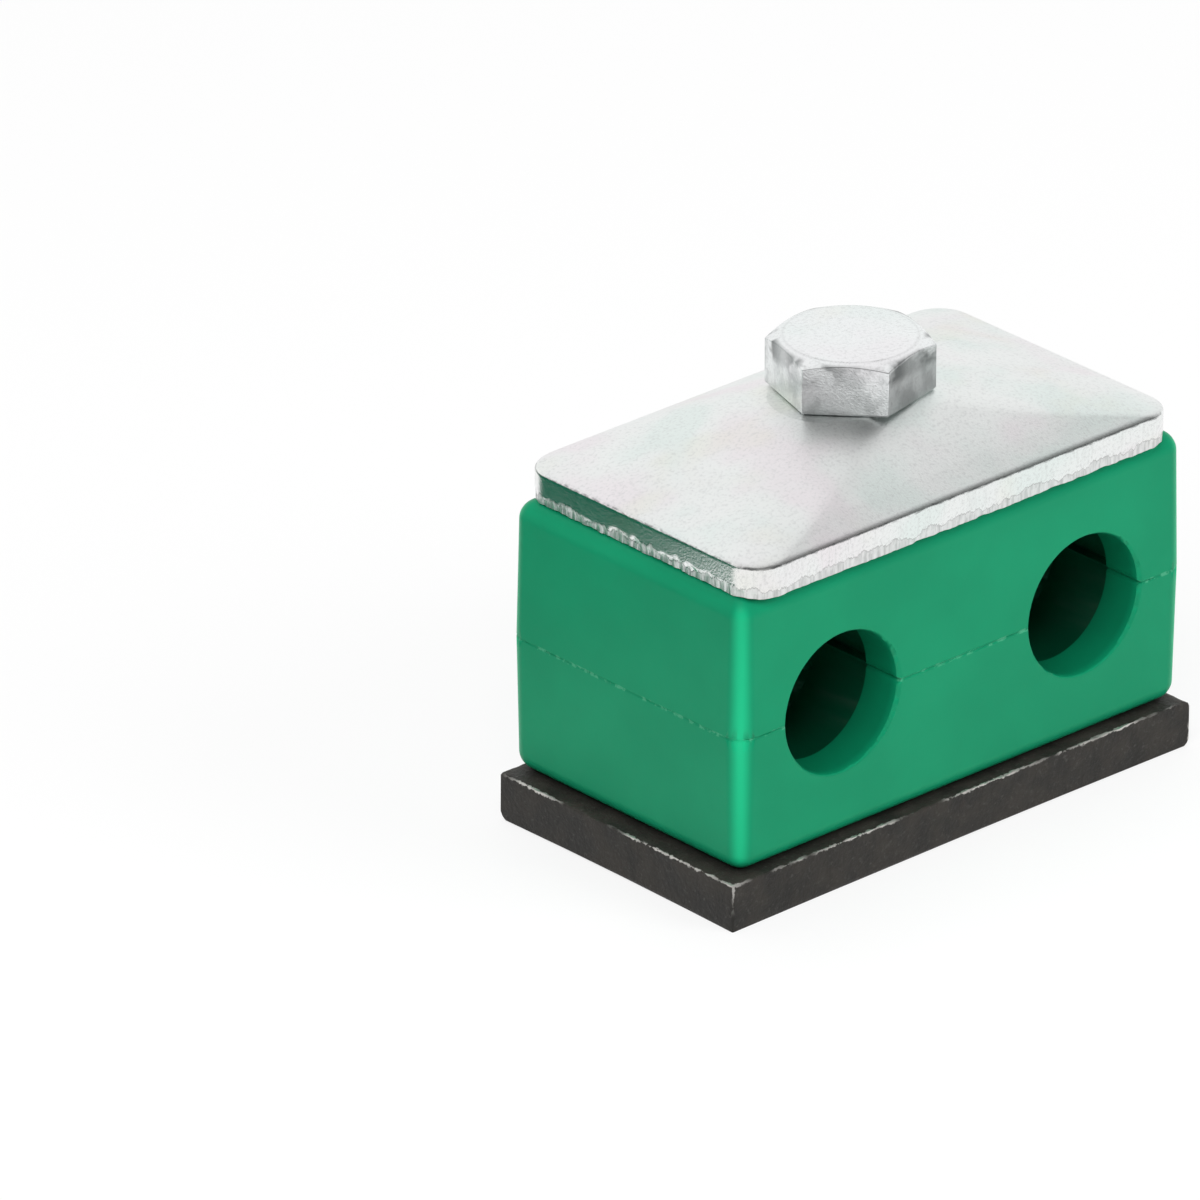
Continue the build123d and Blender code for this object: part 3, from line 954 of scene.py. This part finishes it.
class MakeStage(bpy.types.Operator):
    """Set the floor, the soft studio light and the camera"""
    bl_idname = "tube_clamp.stage"
    bl_label = "Stage"

    def execute(self, context):
        stage = context.scene.clamp_stage
        finish = context.scene.clamp_finish
        deselect_all()
        bpy.ops.mesh.primitive_plane_add(size=6, location=(0, 0, 0))
        floor = context.object
        floor.name = "floor"
        # Centre of the floor's painted reflection of another clamp.
        painted_reflection_spot = Vector((-0.055, 0.036, 0))
        floor.data.materials.append(make_floor_paint("Floor paint", tuple(finish.floor), painted_reflection_spot))
        a, e, r = stage.azimuth, stage.elevation, stage.roll
        back = Vector((math.sin(a) * math.cos(e), -math.cos(a) * math.cos(e), math.sin(e)))
        right = Vector((math.cos(a), math.sin(a), 0))
        up = back.cross(right)
        turned_right = right * math.cos(r) + up * math.sin(r)
        turned_up = up * math.cos(r) - right * math.sin(r)
        seat = Vector((0, 0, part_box("weld_plate")[1].z))
        bpy.ops.object.camera_add()
        camera = context.object
        camera.name = "camera"
        camera.rotation_mode = "QUATERNION"
        camera.rotation_quaternion = Matrix((turned_right, turned_up, back)).transposed().to_quaternion()
        camera.location = seat - turned_right * stage.aside + turned_up * stage.below + back * stage.distance
        camera.data.sensor_width = 36
        camera.data.lens = stage.lens
        camera.data.clip_start, camera.data.clip_end = 0.01, 20
        context.scene.camera = camera
        for name, place, size, power in (
            ("left_light", (-0.55, -0.35, 0.70), 0.55, stage.key_power),
            ("right_light", (0.40, -0.75, 0.55), 0.50, stage.key_power * 0.9),
            ("top_light", (0.05, 0.15, 0.95), 0.45, stage.key_power * 0.7),
        ):
            deselect_all()
            bpy.ops.object.light_add(type="AREA", location=place)
            light = context.object
            light.name = name
            light.rotation_mode = "QUATERNION"
            light.rotation_quaternion = (Vector(place) - Vector((0, 0, 0.02))).to_track_quat("Z", "Y")
            light.data.size = size
            light.data.energy = power
            light.visible_glossy = False
        world = bpy.data.worlds.new("Studio")
        world.use_nodes = True
        n = Nodes(world.node_tree)
        ray = n.add("ShaderNodeLightPath").outputs
        way = n.add("ShaderNodeTexCoord").outputs["Generated"]
        behind = n.remap(n.facing(way, (0.30, 0.95, 0.0)), -0.5, 0.5)
        before = n.remap(n.facing(way, (-0.66, -0.75, 0.0)), 0.3, 0.95)
        above = n.remap(n.split(way)[2], 0.93, 0.985)
        panels = n.maths("MAXIMUM", behind, n.maths("MAXIMUM", above, n.maths("MULTIPLY", before, 0.25)))
        mirrored = n.blend(panels, 0.16, 1.0)
        level = n.blend(ray["Is Glossy Ray"], stage.fill, mirrored)
        level = n.blend(ray["Is Camera Ray"], level, 1.0)
        sky = n.add("ShaderNodeBackground", {"Color": (1, 1, 1, 1), "Strength": level})
        n.add("ShaderNodeOutputWorld", {"Surface": sky.outputs[0]})
        context.scene.world = world
        context.scene.view_settings.view_transform = "Standard"
        return {"FINISHED"}


class ClampPanel(bpy.types.Panel):
    """Lists the clamp's pieces and its sizes and colours"""
    bl_idname = "VIEW3D_PT_tube_clamp"
    bl_label = "Tube Clamp"
    bl_space_type = "VIEW_3D"
    bl_region_type = "UI"
    bl_category = "Tube Clamp"

    def draw(self, context):
        for maker in MAKERS:
            self.layout.operator(maker.bl_idname, text=maker.bl_label)
        for group in (context.scene.clamp_finish, context.scene.clamp_sizes, context.scene.clamp_stage):
            box = self.layout.box()
            for name in group.__annotations__:
                box.prop(group, name)


MAKERS = (MakeGroups, MakeWeldPlate, MakeBush, MakeHalves, MakeCover, MakeBolt, MakeStage)
GROUPS = (("clamp_finish", ClampFinish), ("clamp_sizes", ClampSizes), ("clamp_stage", ClampStage))


def register():
    for name, group in GROUPS:
        bpy.utils.register_class(group)
        setattr(bpy.types.Scene, name, bpy.props.PointerProperty(type=group))
    for maker in MAKERS:
        bpy.utils.register_class(maker)
    bpy.utils.register_class(ClampPanel)


def unregister():
    bpy.utils.unregister_class(ClampPanel)
    for maker in reversed(MAKERS):
        bpy.utils.unregister_class(maker)
    for name, group in reversed(GROUPS):
        delattr(bpy.types.Scene, name)
        bpy.utils.unregister_class(group)


def main():
    register()
    for maker in MAKERS:
        family, action = maker.bl_idname.split(".")
        getattr(getattr(bpy.ops, family), action)()
    deselect_all()


if __name__ == "__main__":
    main()
